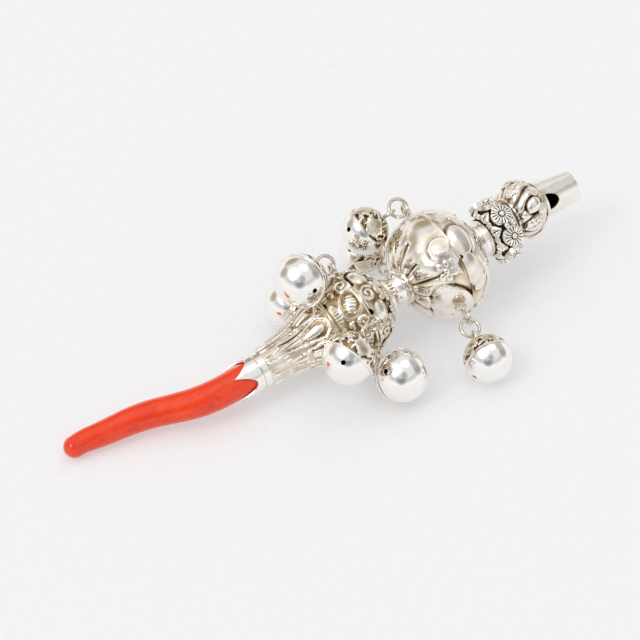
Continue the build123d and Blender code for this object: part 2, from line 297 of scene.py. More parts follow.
def blurred(field, sigma, axis, wraps):
    """Gaussian blur along one axis of a grid."""
    reach = max(int(round(2.5 * sigma)), 1)
    offsets = np.arange(-reach, reach + 1)
    weights = np.exp(-0.5 * (offsets / max(sigma, 1e-6)) ** 2)
    weights /= weights.sum()
    mode = "wrap" if wraps else "edge"
    pads = [(0, 0), (0, 0)]
    pads[axis] = (reach, reach)
    padded = np.pad(field, pads, mode=mode)
    size = field.shape[axis]
    result = np.zeros_like(field)
    for weight, offset in zip(weights, offsets):
        start = offset + reach
        window = padded[start : start + size, :] if axis == 0 else padded[:, start : start + size]
        result += weight * window
    return result


# ---- meshes ----
def make_mesh(name, points, faces, cavity=None, sharp=40):
    """An object from points in metres and lists of equal-sized faces."""
    mesh = bpy.data.meshes.new(name)
    loops = np.concatenate([np.asarray(group, np.int32).ravel() for group in faces])
    sizes = np.concatenate([np.full(len(group), np.shape(group)[1], np.int32) for group in faces])
    mesh.vertices.add(len(points))
    mesh.vertices.foreach_set("co", np.asarray(points, np.float32).ravel())
    mesh.loops.add(len(loops))
    mesh.loops.foreach_set("vertex_index", loops)
    mesh.polygons.add(len(sizes))
    starts = np.r_[0, np.cumsum(sizes)[:-1]].astype(np.int32)
    mesh.polygons.foreach_set("loop_start", starts)
    mesh.polygons.foreach_set("use_smooth", np.ones(len(sizes), bool))
    mesh.update(calc_edges=True)
    mesh.validate()
    mesh.set_sharp_from_angle(angle=math.radians(sharp))
    attribute = mesh.attributes.new("cavity", "FLOAT", "POINT")
    values = np.full(len(points), 0.35) if cavity is None else cavity
    attribute.data.foreach_set("value", np.asarray(values, np.float32).ravel())
    thing = bpy.data.objects.new(name, mesh)
    bpy.context.scene.collection.objects.link(thing)
    return thing


def tube_faces(rows, columns, closed_rows):
    """Quads over a grid that wraps round its columns, and round its rows if it is closed."""
    row = np.arange(rows if closed_rows else rows - 1)[:, None]
    column = np.arange(columns)[None, :]
    next_row, next_column = (row + 1) % rows, (column + 1) % columns
    corners = [
        row * columns + column,
        next_row * columns + column,
        next_row * columns + next_column,
        row * columns + next_column,
    ]
    corners = [np.broadcast_to(corner, (len(row), columns)) for corner in corners]
    return np.stack(corners, axis=-1).reshape(-1, 4)


def ring_edges(columns):
    """The first and second point of every edge of a closed ring."""
    ring = np.arange(columns)
    return ring, (ring + 1) % columns


def fan(centre, first, second):
    """Triangles from one point to the edges of a ring."""
    return np.stack([np.full(len(first), centre), first, second], axis=1)


def shell_faces(keep):
    """Quads for an outer and an inner grid, and the walls round every opening."""
    rows, columns = keep.shape[0] + 1, keep.shape[1]
    layer = rows * columns
    row, column = np.nonzero(keep)
    next_column = (column + 1) % columns
    corner = [
        row * columns + column,
        (row + 1) * columns + column,
        (row + 1) * columns + next_column,
        row * columns + next_column,
    ]
    outer = np.stack(corner, axis=1)
    faces = [outer, outer[:, ::-1] + layer]
    padded = np.pad(keep, ((1, 1), (0, 0)))
    beside = {
        0: np.roll(keep, 1, axis=1)[row, column],
        1: padded[row + 2, column],
        2: np.roll(keep, -1, axis=1)[row, column],
        3: padded[row, column],
    }
    for side, kept in beside.items():
        start, end = corner[side][~kept], corner[(side + 1) % 4][~kept]
        faces.append(np.stack([end, start, start + layer, end + layer], axis=1))
    return faces


def drop_unused(points, faces, cavity):
    """Leaves out the points that no face uses."""
    used = np.unique(np.concatenate([group.ravel() for group in faces]))
    index = np.full(len(points), -1)
    index[used] = np.arange(len(used))
    return points[used], [index[group] for group in faces], cavity[used]


def turned_piece(name, relief, wall=WALL, cavity_reach=0.7, cavity_depth=0.5, centre=(0.0, 0.0)):
    """A hollow turned piece: its relief outside, plain inside."""
    station, angle, radius = relief.surface()
    outward = relief.outward()
    depth = wall + max(0.0, -relief.height.min())
    picks = np.unique(np.linspace(0, len(relief.outline) - 1, 12).astype(int))[::-1]
    inset = np.where((picks == 0) | (picks == len(relief.outline) - 1), wall, depth)
    inner_station = relief.station[picks] - outward[picks, 0] * inset
    inner_station = np.clip(inner_station, relief.station.min(), relief.station.max())
    inner_station[0], inner_station[-1] = relief.station[-1], relief.station[0]
    inner_radius = np.maximum(relief.radius[picks] - np.abs(outward[picks, 1]) * inset, 0.6)
    columns = len(relief.angle)
    spread = np.ones((1, columns))
    stations = np.vstack([station, inner_station[:, None] * spread])
    radii = np.vstack([radius, inner_radius[:, None] * spread])
    angles = np.broadcast_to(relief.angle[None, :], stations.shape)
    points = on_stem(stations, angles, radii, centre).reshape(-1, 3)
    faces = tube_faces(len(stations), columns, True)
    if relief.station[-1] > relief.station[0]:
        faces = faces[:, ::-1]
    # The inner rows get a fixed cavity of 0.8, which darkens them: painted shade inside the piece.
    cavity = np.vstack([relief.cavity(cavity_reach, cavity_depth), np.full((len(picks), columns), 0.8)])
    return make_mesh(name, points, [faces], cavity.ravel())


# ---- materials ----
class Nodes:
    """Short ways to add shader nodes."""

    def __init__(self, name):
        self.material = bpy.data.materials.new(name)
        self.material.use_nodes = True
        self.tree = self.material.node_tree
        self.shader = self.tree.nodes["Principled BSDF"]
        self.coordinates = self.add("ShaderNodeTexCoord")

    def add(self, kind, **settings):
        node = self.tree.nodes.new(kind)
        for key, value in settings.items():
            if key.startswith("in_"):
                node.inputs[key[3:].replace("_", " ")].default_value = value
            else:
                setattr(node, key, value)
        return node

    def link(self, source, target):
        self.tree.links.new(source, target)

    def scaled(self, scale):
        """Object coordinates with so many units to the millimetre."""
        mapping = self.add("ShaderNodeMapping")
        mapping.inputs["Scale"].default_value = [value / MM for value in scale]
        self.link(self.coordinates.outputs["Object"], mapping.inputs["Vector"])
        return mapping.outputs["Vector"]

    def noise(self, per_mm, detail=4.0, roughness=0.55, stretch=(1, 1, 1)):
        texture = self.add("ShaderNodeTexNoise", in_Scale=1.0, in_Detail=detail, in_Roughness=roughness)
        self.link(self.scaled([per_mm * value for value in stretch]), texture.inputs["Vector"])
        return texture.outputs["Fac"]

    def ramp(self, value, low, high, to_low=0.0, to_high=1.0):
        node = self.add("ShaderNodeMapRange", in_From_Min=low, in_From_Max=high)
        node.inputs["To Min"].default_value, node.inputs["To Max"].default_value = to_low, to_high
        self.link(value, node.inputs["Value"])
        return node.outputs["Result"]

    def maths(self, operation, first, second):
        node = self.add("ShaderNodeMath", operation=operation)
        for index, value in enumerate((first, second)):
            if isinstance(value, (int, float)):
                node.inputs[index].default_value = value
            else:
                self.link(value, node.inputs[index])
        return node.outputs["Value"]

    def mix(self, share, first, second):
        node = self.add("ShaderNodeMix", data_type="RGBA")
        self.link(share, node.inputs["Factor"])
        for index, value in ((6, first), (7, second)):
            if isinstance(value, tuple):
                node.inputs[index].default_value = (*value, 1)
            else:
                self.link(value, node.inputs[index])
        return node.outputs[2]

    def bump(self, height, depth_mm, strength=1.0, below=None):
        node = self.add("ShaderNodeBump", in_Strength=strength, in_Distance=depth_mm * MM)
        self.link(height, node.inputs["Height"])
        if below is not None:
            self.link(below, node.inputs["Normal"])
        return node.outputs["Normal"]

    def attribute(self, name):
        return self.add("ShaderNodeAttribute", attribute_name=name).outputs["Fac"]


def silver(name, bright, warm, dark, tarnish, blacken, gloss, dents=0.02):
    """Silver: bright on high places, golden and then dark in the hollows, with fine scratches. The golden
    tint is tarnish; the dark in the deep hollows is partly tarnish and partly painted shade.
    """
    nodes = Nodes(name)
    cavity = nodes.attribute("cavity")
    blotches = nodes.noise(0.22, 5, 0.6)
    fine = nodes.noise(1.6, 6, 0.65)
    uneven = nodes.maths("MULTIPLY", nodes.maths("SUBTRACT", blotches, 0.5), 0.5)
    hollow = nodes.maths("ADD", cavity, uneven)
    gold = nodes.ramp(hollow, *tarnish)
    # Black in the deepest hollows: partly tarnish, partly painted shade in the grooves.
    black = nodes.ramp(nodes.maths("ADD", hollow, nodes.ramp(fine, 0.4, 0.7, -0.05, 0.08)), *blacken)
    colour = nodes.mix(gold, bright, warm)
    colour = nodes.mix(black, colour, dark)
    nodes.link(colour, nodes.shader.inputs["Base Color"])
    rough = nodes.ramp(fine, 0.3, 0.75, gloss[0], gloss[1])
    rough = nodes.maths("ADD", rough, nodes.maths("MULTIPLY", black, 0.25))
    nodes.link(rough, nodes.shader.inputs["Roughness"])
    nodes.shader.inputs["Metallic"].default_value = 1.0
    dented = nodes.bump(nodes.noise(0.7, 2, 0.5), dents)
    scratched = nodes.bump(nodes.noise(4.0, 3, 0.6, (0.12, 1, 1)), 0.0012, 1.0, dented)
    grained = nodes.bump(nodes.noise(7.0, 3, 0.6), 0.0005, 1.0, scratched)
    nodes.link(grained, nodes.shader.inputs["Normal"])
    return nodes.material


def coral_material():
    """Polished coral: red-orange clouds and grain, a few dark specks and a glossy coat."""
    nodes = Nodes("coral")
    cloud = nodes.noise(0.12, 4, 0.6)
    grain = nodes.noise(0.9, 5, 0.6, (0.25, 1, 1))
    colour = nodes.mix(nodes.ramp(cloud, 0.3, 0.7), (0.77, 0.038, 0.002), (0.87, 0.060, 0.003))
    colour = nodes.mix(nodes.ramp(grain, 0.5, 0.85), colour, (0.50, 0.016, 0.003))
    cells = nodes.add("ShaderNodeTexVoronoi", in_Scale=1.0)
    nodes.link(nodes.scaled((0.16, 0.16, 0.16)), cells.inputs["Vector"])
    speck = nodes.ramp(cells.outputs["Distance"], 0.035, 0.06, 1.0, 0.0)
    colour = nodes.mix(speck, colour, (0.16, 0.02, 0.01))
    nodes.link(colour, nodes.shader.inputs["Base Color"])
    nodes.link(nodes.ramp(grain, 0.3, 0.8, 0.10, 0.24), nodes.shader.inputs["Roughness"])
    nodes.shader.inputs["Specular IOR Level"].default_value = 0.35
    nodes.shader.inputs["Coat Weight"].default_value = 0.5
    nodes.shader.inputs["Coat Roughness"].default_value = 0.03
    nodes.shader.inputs["Subsurface Weight"].default_value = 0.12
    nodes.shader.inputs["Subsurface Radius"].default_value = (0.004, 0.0008, 0.0003)
    nodes.shader.inputs["Subsurface Scale"].default_value = 0.4
    wavy = nodes.bump(nodes.noise(0.28, 2, 0.5), 0.10)
    ribbed = nodes.bump(nodes.noise(1.3, 3, 0.5, (0.15, 1, 1)), 0.012, 1.0, wavy)
    nodes.link(nodes.bump(cells.outputs["Distance"], 0.01, 0.4, ribbed), nodes.shader.inputs["Normal"])
    return nodes.material


def plain_material(name, first, second, rough, grain_per_mm, depth_mm, metallic=0.0):
    """A dull, grainy material between two colours."""
    nodes = Nodes(name)
    grain = nodes.noise(grain_per_mm, 6, 0.65)
    nodes.link(nodes.mix(nodes.ramp(grain, 0.35, 0.7), first, second), nodes.shader.inputs["Base Color"])
    nodes.link(nodes.ramp(grain, 0.3, 0.7, rough[0], rough[1]), nodes.shader.inputs["Roughness"])
    nodes.shader.inputs["Metallic"].default_value = metallic
    nodes.link(nodes.bump(grain, depth_mm), nodes.shader.inputs["Normal"])
    return nodes.material


CHASED = silver(
    "chased_silver",
    bright=(0.93, 0.895, 0.83),
    warm=(0.60, 0.46, 0.28),
    dark=(0.08, 0.058, 0.04),
    tarnish=(0.46, 0.72),
    blacken=(0.66, 0.92),
    gloss=(0.1, 0.22),
)
POLISHED = silver(
    "polished_silver",
    bright=(0.96, 0.945, 0.92),
    warm=(0.80, 0.72, 0.60),
    dark=(0.2, 0.15, 0.1),
    tarnish=(0.5, 0.9),
    blacken=(0.85, 1.1),
    gloss=(0.05, 0.12),
    dents=0.012,
)
AGED = silver(
    "aged_silver",
    bright=(0.92, 0.875, 0.79),
    warm=(0.54, 0.39, 0.20),
    dark=(0.05, 0.036, 0.025),
    tarnish=(0.38, 0.62),
    blacken=(0.57, 0.82),
    gloss=(0.1, 0.24),
)
# Near-black silver, used only on the fipple block and the chamber plug inside the whistle.
NEAR_BLACK_SILVER = silver(
    "near_black_silver",
    bright=(0.09, 0.08, 0.07),
    warm=(0.07, 0.055, 0.04),
    dark=(0.02, 0.018, 0.015),
    tarnish=(0.2, 0.6),
    blacken=(0.6, 1.0),
    gloss=(0.35, 0.5),
)
BEAK = silver(
    "worn_silver",
    bright=(0.96, 0.925, 0.85),
    warm=(0.72, 0.60, 0.43),
    dark=(0.10, 0.08, 0.06),
    tarnish=(0.35, 0.75),
    blacken=(0.8, 1.0),
    gloss=(0.16, 0.3),
)
WIRE = silver(
    "silver_wire",
    bright=(0.82, 0.78, 0.71),
    warm=(0.52, 0.43, 0.31),
    dark=(0.10, 0.08, 0.06),
    tarnish=(0.2, 0.6),
    blacken=(0.6, 1.0),
    gloss=(0.12, 0.24),
)
OXIDISED = silver(
    "oxidised_silver",
    bright=(0.93, 0.9, 0.84),
    warm=(0.42, 0.35, 0.26),
    dark=(0.03, 0.026, 0.022),
    tarnish=(0.42, 0.6),
    blacken=(0.5, 0.72),
    gloss=(0.12, 0.26),
)
CORAL = coral_material()
CEMENT = plain_material("setting_cement", (0.42, 0.3, 0.19), (0.28, 0.19, 0.12), (0.75, 0.95), 3.0, 0.05)
IRON = plain_material("iron_shot", (0.2, 0.19, 0.18), (0.1, 0.09, 0.085), (0.45, 0.7), 4.0, 0.03, 1.0)


def finish_piece(piece, material, slot, body, *nodes):
    """Gives a new piece its material and body, and hides the CAD nodes it replaces."""
    piece.data.materials.append(material)
    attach(piece, body)
    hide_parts(*nodes)


def finish_node(node, material):
    """Gives a CAD node that stays its material."""
    thing = frame["nodes"][node]
    thing.data.materials.clear()
    thing.data.materials.append(material)


# ---- trumpet socket ----
LEAVES = 8
LEAF_PITCH = 360 / LEAVES
FIRST_LEAF = 118.0
LEAF_FOOT, BETWEEN_FOOT = -51.4, -47.5


def trumpet():
    """The flared socket, with long leaves that end in pear-shaped bosses."""
    points = [(SOCKET_END, COLLAR_RADIUS), (-46, 5.1), (-40, 6.4), (-36.8, 7.8), (LOWER_REAR, 8.6)]
    relief = Relief(smooth_outline(points, GRID), 320)
    relief.height -= 0.3
    reach = np.linspace(0, 14.5, 16)
    leaf_edge = np.stack([reach, 0.45 + 2.0 * (reach / 14.0) ** 1.6], axis=1)
    reach = np.linspace(0, 9, 12)
    between_edge = np.stack([reach, 0.35 + 0.9 * np.sin(reach / 9.0 * math.pi)], axis=1)
    mouth_rim = np.array([(-1.0, 2.7), (0.5, 2.4), (1.7, 1.5), (2.1, 0.0)])
    steps = np.linspace(0, 1, 9)
    for number in range(LEAVES):
        angle = FIRST_LEAF + number * LEAF_PITCH
        between = angle + LEAF_PITCH / 2
        relief.boss(-38.8, angle, 2.9, 1.7, 0.6, 0, -0.15)
        relief.boss(-43.0, angle, 3.6, 0.75, 0.35, 0, -0.15)
        relief.outline_oval(-38.8, angle, 3.2, 2.0, 0.26, -0.42)
        relief.boss(-36.8, between, 1.7, 1.0, 0.45, 0, -0.2)
        for hand in (-1, 1):
            sided = np.array([1, hand])
            relief.curve((LEAF_FOOT, angle), leaf_edge * sided, 0.34, 0.3)
            relief.groove((LEAF_FOOT, angle), leaf_edge * sided * (1, 0.55), 0.16, 0.3)
            for vein in range(3):
                foot = 2.0 + 3.0 * vein + 0.5 * math.sin(5 * number + 3 * vein + hand)
                wave = 0.5 + 0.6 * vein + 0.9 * steps**1.5 + 0.2 * np.sin(4 * steps + number)
                stroke = np.stack([foot + 4.2 * steps, hand * wave], axis=1)
                relief.groove((LEAF_FOOT, angle), stroke, 0.2, 0.26)
            relief.curve((BETWEEN_FOOT, between), between_edge * sided, 0.26, 0.22)
            relief.groove((BETWEEN_FOOT, between), between_edge * sided * (1, 0.3), 0.14, 0.3)
            relief.curve((-36.9, angle), mouth_rim * sided, 0.28, 0.28)
    for number in range(LEAVES):
        angle = FIRST_LEAF + number * LEAF_PITCH
        relief.dots([(-43.5 + 1.3 * row, angle + side) for row in range(3) for side in (-13, 13)], 0.2, 0.3)
    relief.hammer(0.07, 3)
    relief.fade(0.8, 0.3)
    return turned_piece("trumpet_socket_chased", relief, cavity_reach=0.8)


# ---- crown collar ----
def collar():
    """The plain band with its points over the coral and a turned line round it."""
    outline = resample([(COLLAR_EDGE, COLLAR_RADIUS - 0.1), (SOCKET_END, COLLAR_RADIUS)], 0.12)
    angle = (np.arange(288) * 360 / 288)[None, :]
    station = outline[:, :1] + np.zeros_like(angle)
    half_width = 180 / COLLAR_POINTS
    wrapped = (angle - FIRST_POINT) % (2 * half_width) - half_width
    edge = COLLAR_EDGE + COLLAR_POINT_DEPTH * np.cos(math.pi / 2 * wrapped / half_width) ** 0.85
    span = (station - COLLAR_EDGE) / (SOCKET_END - COLLAR_EDGE)
    station = edge + span * (SOCKET_END - edge)
    groove = np.exp(-(((station + 53.9) / 0.16) ** 2))
    lip = np.clip(1 - (station - edge) / 0.25, 0, 1)
    plain = np.interp(station, outline[:, 0], outline[:, 1])
    wave = 0.03 * np.sin(0.8 * station + np.radians(3 * angle))
    wave += 0.02 * np.cos(1.7 * station - np.radians(2 * angle))
    radius = plain - 0.25 * groove - 0.2 * lip**2 + wave - 0.05
    points = np.concatenate(
        [on_stem(station, angle, radius).reshape(-1, 3), on_stem(station, angle, plain - 0.5).reshape(-1, 3)]
    )
    keep = np.ones((len(outline) - 1, angle.size), bool)
    faces = [group[:, ::-1] for group in shell_faces(keep)]
    shade = np.clip(0.35 + 0.5 * groove + 0.35 * lip, 0, 1)
    # The inner wall gets a fixed 0.8: painted shade inside the band.
    cavity = np.concatenate([shade.ravel(), np.full(shade.size, 0.8)])
    return make_mesh("crown_collar_cut", points, faces, cavity)


# ---- lower bulb ----
PANEL_STATION, REAR_OVAL_STATION, REAR_OVAL_TURN = -32.3, -28.6, 20
FRONT_OVAL_STATION, NECK_BEAD_STATION = -22.6, -18.7
OVAL_PITCH = 60


def lower_rear():
    """The rear half, with the flange that closes the gap to the trumpet's mouth."""
    flange = [(LOWER_REAR + 0.05, 7.0), (-34.5, 8.9), (-34.2, 9.1), (-33.8, 9.0)]
    flange += [(-33.5, 8.65), (-33.0, 8.6), (-32, 8.75)]
    full = [(-31.0, 9.1), (-30.0, 9.55), (-28.5, 10.12), (-27.0, 10.5), (LOWER_EQUATOR, LOWER_RADIUS)]
    relief = Relief(smooth_outline(flange + full, GRID), 420)
    body = np.clip((relief.station + 33.6) / 0.5, 0, 1)[:, None]
    relief.height -= 0.45
    for number in range(8):
        angle = 120 + number * 45
        relief.boss(PANEL_STATION, angle, 1.3, 1.9, 0.5, 0, -0.2)
        for line in (-0.85, 0, 0.85):
            relief.groove((PANEL_STATION, angle), np.array([(-0.9, line), (0.9, line)]), 0.2, 0.3)
        relief.boss(-32.6, angle + 22.5, 0.8, 0.8, 0.4, 0, -0.25)
    turns = np.linspace(0, 2 * math.pi, 30)
    rim = np.stack([2.7 * np.cos(turns), 3.8 * np.sin(turns)], axis=1)
    for number in range(6):
        angle = 112 + number * OVAL_PITCH
        oval = (REAR_OVAL_STATION, angle, REAR_OVAL_TURN)
        relief.boss(REAR_OVAL_STATION, angle, 2.1, 3.0, 0.85, REAR_OVAL_TURN, -0.4)
        relief.outline_oval(REAR_OVAL_STATION, angle, 2.4, 3.3, 0.28, -0.4, REAR_OVAL_TURN)
        relief.curve(oval, rim, 0.4, 0.1)
        for line in np.linspace(-1.7, 1.7, 5):
            relief.groove(oval, np.array([(-1.2, line), (1.2, line + 0.3)]), 0.24, 0.12)
        for stroke in range(6):
            leaf_station = -29.4 + 1.7 * math.sin(2.1 * stroke + number)
            turn = 70 * math.sin(1.7 * stroke + number)
            relief.leaf(leaf_station, angle + 12 + 6 * stroke, 2.6, 0.6, 0.6, turn, 3, 0.2, -0.4)
        relief.scroll(-27.6, angle + 30, 1.9, 1.4, 0.42, 0.3, 30, 1)
        relief.boss(-30.6, angle + 30, 0.9, 1.4, 0.6, 0, -0.3)
    relief.ring(-25.75, 0.3, 0.35)
    relief.hammer(0.10, 11)
    relief.height *= body
    relief.fade(0.2, 0.02)
    return turned_piece("lower_bulb_rear_chased", relief, cavity_reach=0.9, cavity_depth=0.55)


def lower_front():
    """The front half, with a ring of ovals, volutes and small leaves."""
    outline = resample(dome(LOWER_EQUATOR, LOWER_FRONT, LOWER_RADIUS, LOWER_OPENING), GRID)
    relief = Relief(outline, 420)
    relief.height -= 0.5
    for number in range(6):
        angle = 142 + number * OVAL_PITCH
        relief.boss(FRONT_OVAL_STATION, angle, 2.5, 3.4, 0.95, 10, -0.45)
        relief.outline_oval(FRONT_OVAL_STATION, angle, 2.8, 3.8, 0.3, -0.4, 10)
        relief.scroll(-23.4, angle + 30, 2.0, 1.5, 0.45, 0.35, -40, -1)
        relief.boss(-20.6, angle + 30, 1.2, 1.7, 0.6, 0, -0.3)
        for side in (-1, 1):
            relief.leaf(-21.2, angle + 15 * side, 3.0, 1.0, 0.5, 25 * side, 3, 0.05, -0.25)
    for number in range(12):
        angle = 127 + number * 30
        relief.boss(NECK_BEAD_STATION, angle, 0.75, 1.35, 0.45, 0, -0.15)
        relief.groove((NECK_BEAD_STATION, angle), np.array([(-0.5, 0.0), (0.5, 0.0)]), 0.2, 0.25)
    relief.ring(-25.45, 0.3, 0.35)
    relief.ring(-17.7, 0.25, 0.35)
    relief.hammer(0.10, 12)
    relief.fade(0.02, 0.4)
    return turned_piece("lower_bulb_front_chased", relief, cavity_reach=0.9, cavity_depth=0.55)


# ---- upper bulb ----
EYE_LOBE, ROUND_BOSS, FLOWER = (-4.9, 188), (-2.8, 114), (-4.4, 138)
FLOWER_PETALS, PETAL_PITCH, FIRST_PETAL = 6, 52, -120
EDGE_LOBE = (2.6, 116)


def upper_rear():
    """The rear half: gadroons from the neck, then lobes, round bosses, flowers and leaves."""
    outline = resample(dome(0, UPPER_REAR, UPPER_RADIUS, UPPER_OPENING)[::-1], GRID)
    relief = Relief(outline, 560)
    relief.height -= 0.6
    share = np.clip((relief.station - UPPER_REAR) / 8.0, 0, 1)[:, None]
    lobe = np.abs(np.cos(np.radians((relief.angle - 5) * 6)))[None, :] ** 0.5
    gadroon = -0.95 + 1.25 * lobe * np.sin(math.pi * share**0.75) ** 0.5
    near_neck = (relief.station < -5.0)[:, None]
    relief.height = np.where(near_neck, gadroon, relief.height)
    relief.raise_to(np.where(share < 1, gadroon, LOWEST))
    for number in range(2):
        turn = number * 180
        eye, knob, flower = [(at[0], at[1] + turn) for at in (EYE_LOBE, ROUND_BOSS, FLOWER)]
        relief.boss(*eye, 5.6, 7.4, 1.2, -12, -0.5)
        relief.outline_oval(*eye, 5.8, 7.7, 0.34, -0.45, -12)
        relief.dots([(-5.0, 199 + turn)], 0.5, 0.8)
        relief.boss(-3.4, 84 + turn, 4.6, 5.2, 0.75, 0, -0.4)
        relief.boss(*knob, 3.7, 3.7, 0.6, 0, -0.25)
        relief.outline_oval(*knob, 3.8, 3.8, 0.3, -0.4)
        relief.outline_oval(*knob, 2.5, 2.5, 0.35, -0.3)
        relief.scroll(*knob, 3.2, 1.2, 0.5, 0.5, 140, 1)
        for petal in range(FLOWER_PETALS):
            tilt = petal * PETAL_PITCH + FIRST_PETAL
            way = math.radians(tilt)
            station, angle = flower[0] + 1.8 * math.cos(way), flower[1] + 8.0 * math.sin(way)
            relief.boss(station, angle, 1.15, 0.85, 0.6, tilt, -0.3)
        relief.boss(*flower, 0.8, 0.8, 0.7, 0, -0.3)
        relief.leaf(-2.4, 127 + turn, 5.4, 1.2, 0.6, 75, 3, 0.1, -0.3)
        relief.leaf(-6.3, 152 + turn, 6.4, 1.0, 0.6, 40, 3, 0.08, -0.35)
        relief.scroll(-1.8, 236 + turn, 2.4, 1.3, 0.5, 0.35, 60, -1)
        relief.boss(-5.0, 48 + turn, 3.0, 2.6, 0.7, 0, -0.4)
    relief.hammer(0.12, 21)
    relief.hold(-1.45, 0.3)
    relief.fade(0.7, 0.05)
    relief.ring(-0.25, 0.25, 0.12)
    return turned_piece("upper_bulb_rear_chased", relief, cavity_reach=1.0, cavity_depth=1.15)


def upper_front():
    """The front half: leaves and lobes from the seam up to a scalloped ridge."""
    outline = resample(dome(0, UPPER_FRONT, UPPER_RADIUS, UPPER_OPENING), GRID)
    relief = Relief(outline, 560)
    relief.height -= 0.5
    ridge = 6.0 + 0.8 * np.cos(np.radians((relief.angle - 110) * 6))[None, :]
    gap = relief.station[:, None] - ridge
    beyond = -0.1 - 0.35 * np.clip(gap / 3.0, 0, 1) + 0.35 * np.exp(-((gap / 0.4) ** 2))
    relief.raise_to(np.where(gap < -1.2, LOWEST, beyond))
    for number in range(2):
        turn = number * 180
        relief.leaf(0.6, 50 + turn, 7.4, 1.9, 0.85, 35, 4, 0.12, -0.35)
        relief.leaf(1.2, 82 + turn, 6.6, 1.7, 0.75, 5, 4, -0.1, -0.35)
        relief.scroll(3.2, 66 + turn, 2.3, 1.4, 0.5, 0.5, -30, 1)
        lobe = (EDGE_LOBE[0], EDGE_LOBE[1] + turn)
        relief.boss(*lobe, 3.2, 4.4, 0.6, 10, -0.3)
        relief.outline_oval(*lobe, 3.4, 4.7, 0.3, -0.25, 10)
        relief.boss(2.4, 152 + turn, 3.0, 5.0, 0.5, -10, -0.3)
        relief.leaf(0.8, 172 + turn, 5.6, 1.5, 0.6, -20, 3, 0.1, -0.35)
        relief.leaf(1.0, 205 + turn, 6.0, 1.8, 0.7, 15, 4, -0.1, -0.35)
    relief.ring(0.25, 0.25, 0.12)
    relief.hammer(0.12, 22)
    relief.hold(-1.0, 0.1)
    relief.fade(0.05, 0.7)
    return turned_piece("upper_bulb_front_chased", relief, cavity_reach=1.0, cavity_depth=1.15)


# ---- necks ----
def neck(name, start, end, start_radius, waist, end_radius, seam_angle):
    """A waisted collar with a thin rim at each end and the line of its solder seam."""
    outline = smooth_outline([(start, start_radius), ((start + end) / 2, waist), (end, end_radius)], 0.1)
    relief = Relief(outline, 220)
    relief.ring(start + 0.3, 0.2, 0.3)
    relief.ring(end - 0.3, 0.2, 0.3)
    relief.ring(start + 0.75, 0.15, -0.12)
    relief.ring(end - 0.75, 0.15, -0.12)
    middle, half = (start + end) / 2, (end - start) / 2
    seam = np.array([(0.6 - half, 0.1), (0.0, -0.1), (half - 0.6, 0.12)])
    relief.groove((middle, seam_angle), seam, 0.07, 0.12)
    relief.hammer(0.03, 51)
    return turned_piece(name, relief, 0.5, 0.4, 0.4)


# ---- knops ----
def rosette_knop():
    """The ball between the rosettes, with pointed leaves and small bosses."""
    outline = resample(bead(KNOP_REAR, KNOP_MIDDLE, ROSETTE_BALL_RADIUS, KNOP_END_RADIUS), 0.13)
    relief = Relief(outline, 340)
    relief.height -= 0.45
    for number in range(8):
        angle = FIRST_ROSETTE + 22.5 + number * 45
        relief.leaf(KNOP_REAR + 0.1, angle, 3.0, 1.7, 0.75, 0, 2, 0.0, -0.3)
        relief.boss(19.9, angle, 1.1, 1.0, 0.75, 0, -0.15)
        relief.boss(17.9, angle, 0.8, 0.8, 0.6, 0, -0.15)
        relief.leaf(KNOP_REAR + 0.1, angle + 22.5, 1.6, 1.3, 0.5, 0, 2, 0.0, -0.3)
        relief.boss(21.1, angle + 22.5, 0.6, 0.9, 0.5, 0, -0.2)
    relief.hammer(0.05, 31)
    relief.fade(0.2, 0.2)
    return turned_piece("rosette_knop_chased", relief, cavity_reach=0.6, cavity_depth=0.45)


DAISY_PETALS, DAISY_SIDE, DAISY_BOSS = 16, 1.7, 0.28


def daisy(columns=132, rings=26):
    """Points of one domed daisy stud, from its foot to its centre, with cavity values."""
    turn = np.arange(columns) * 2 * math.pi / columns
    radial = np.r_[np.full(4, 1.0), np.linspace(0.985, 0.02, rings - 4)]
    height = np.zeros((rings, columns))
    height[:4] = np.linspace(-DAISY_SIDE, -0.35, 4)[:, None]
    share = radial[4:, None]
    crown = -0.30 * share**2 - 0.12 * np.exp(-(((share - 1) / 0.04) ** 2))
    petal = np.abs(np.cos(DAISY_PETALS / 2 * turn))[None, :]
    in_petals = np.clip((share - 0.33) / 0.06, 0, 1) * np.clip((0.97 - share) / 0.06, 0, 1)
    groove = in_petals * np.clip(0.95 - 1.5 * petal, 0, 1)
    centre = np.exp(-((share / 0.24) ** 4)) * 0.34
    moat = np.exp(-(((share - 0.31) / 0.055) ** 2))
    height[4:] = crown - 0.38 * groove + centre - 0.22 * moat
    cavity = np.full((rings, columns), 0.3)
    cavity[0] = 0.8
    cavity[4:] = np.clip(0.2 + 1.1 * groove + 0.7 * moat, 0, 1)
    spread = radial[:, None] * ROSETTE_RADIUS
    local = np.stack([spread * np.cos(turn), spread * np.sin(turn), ROSETTE_TOP + height], axis=-1)
    return local, cavity


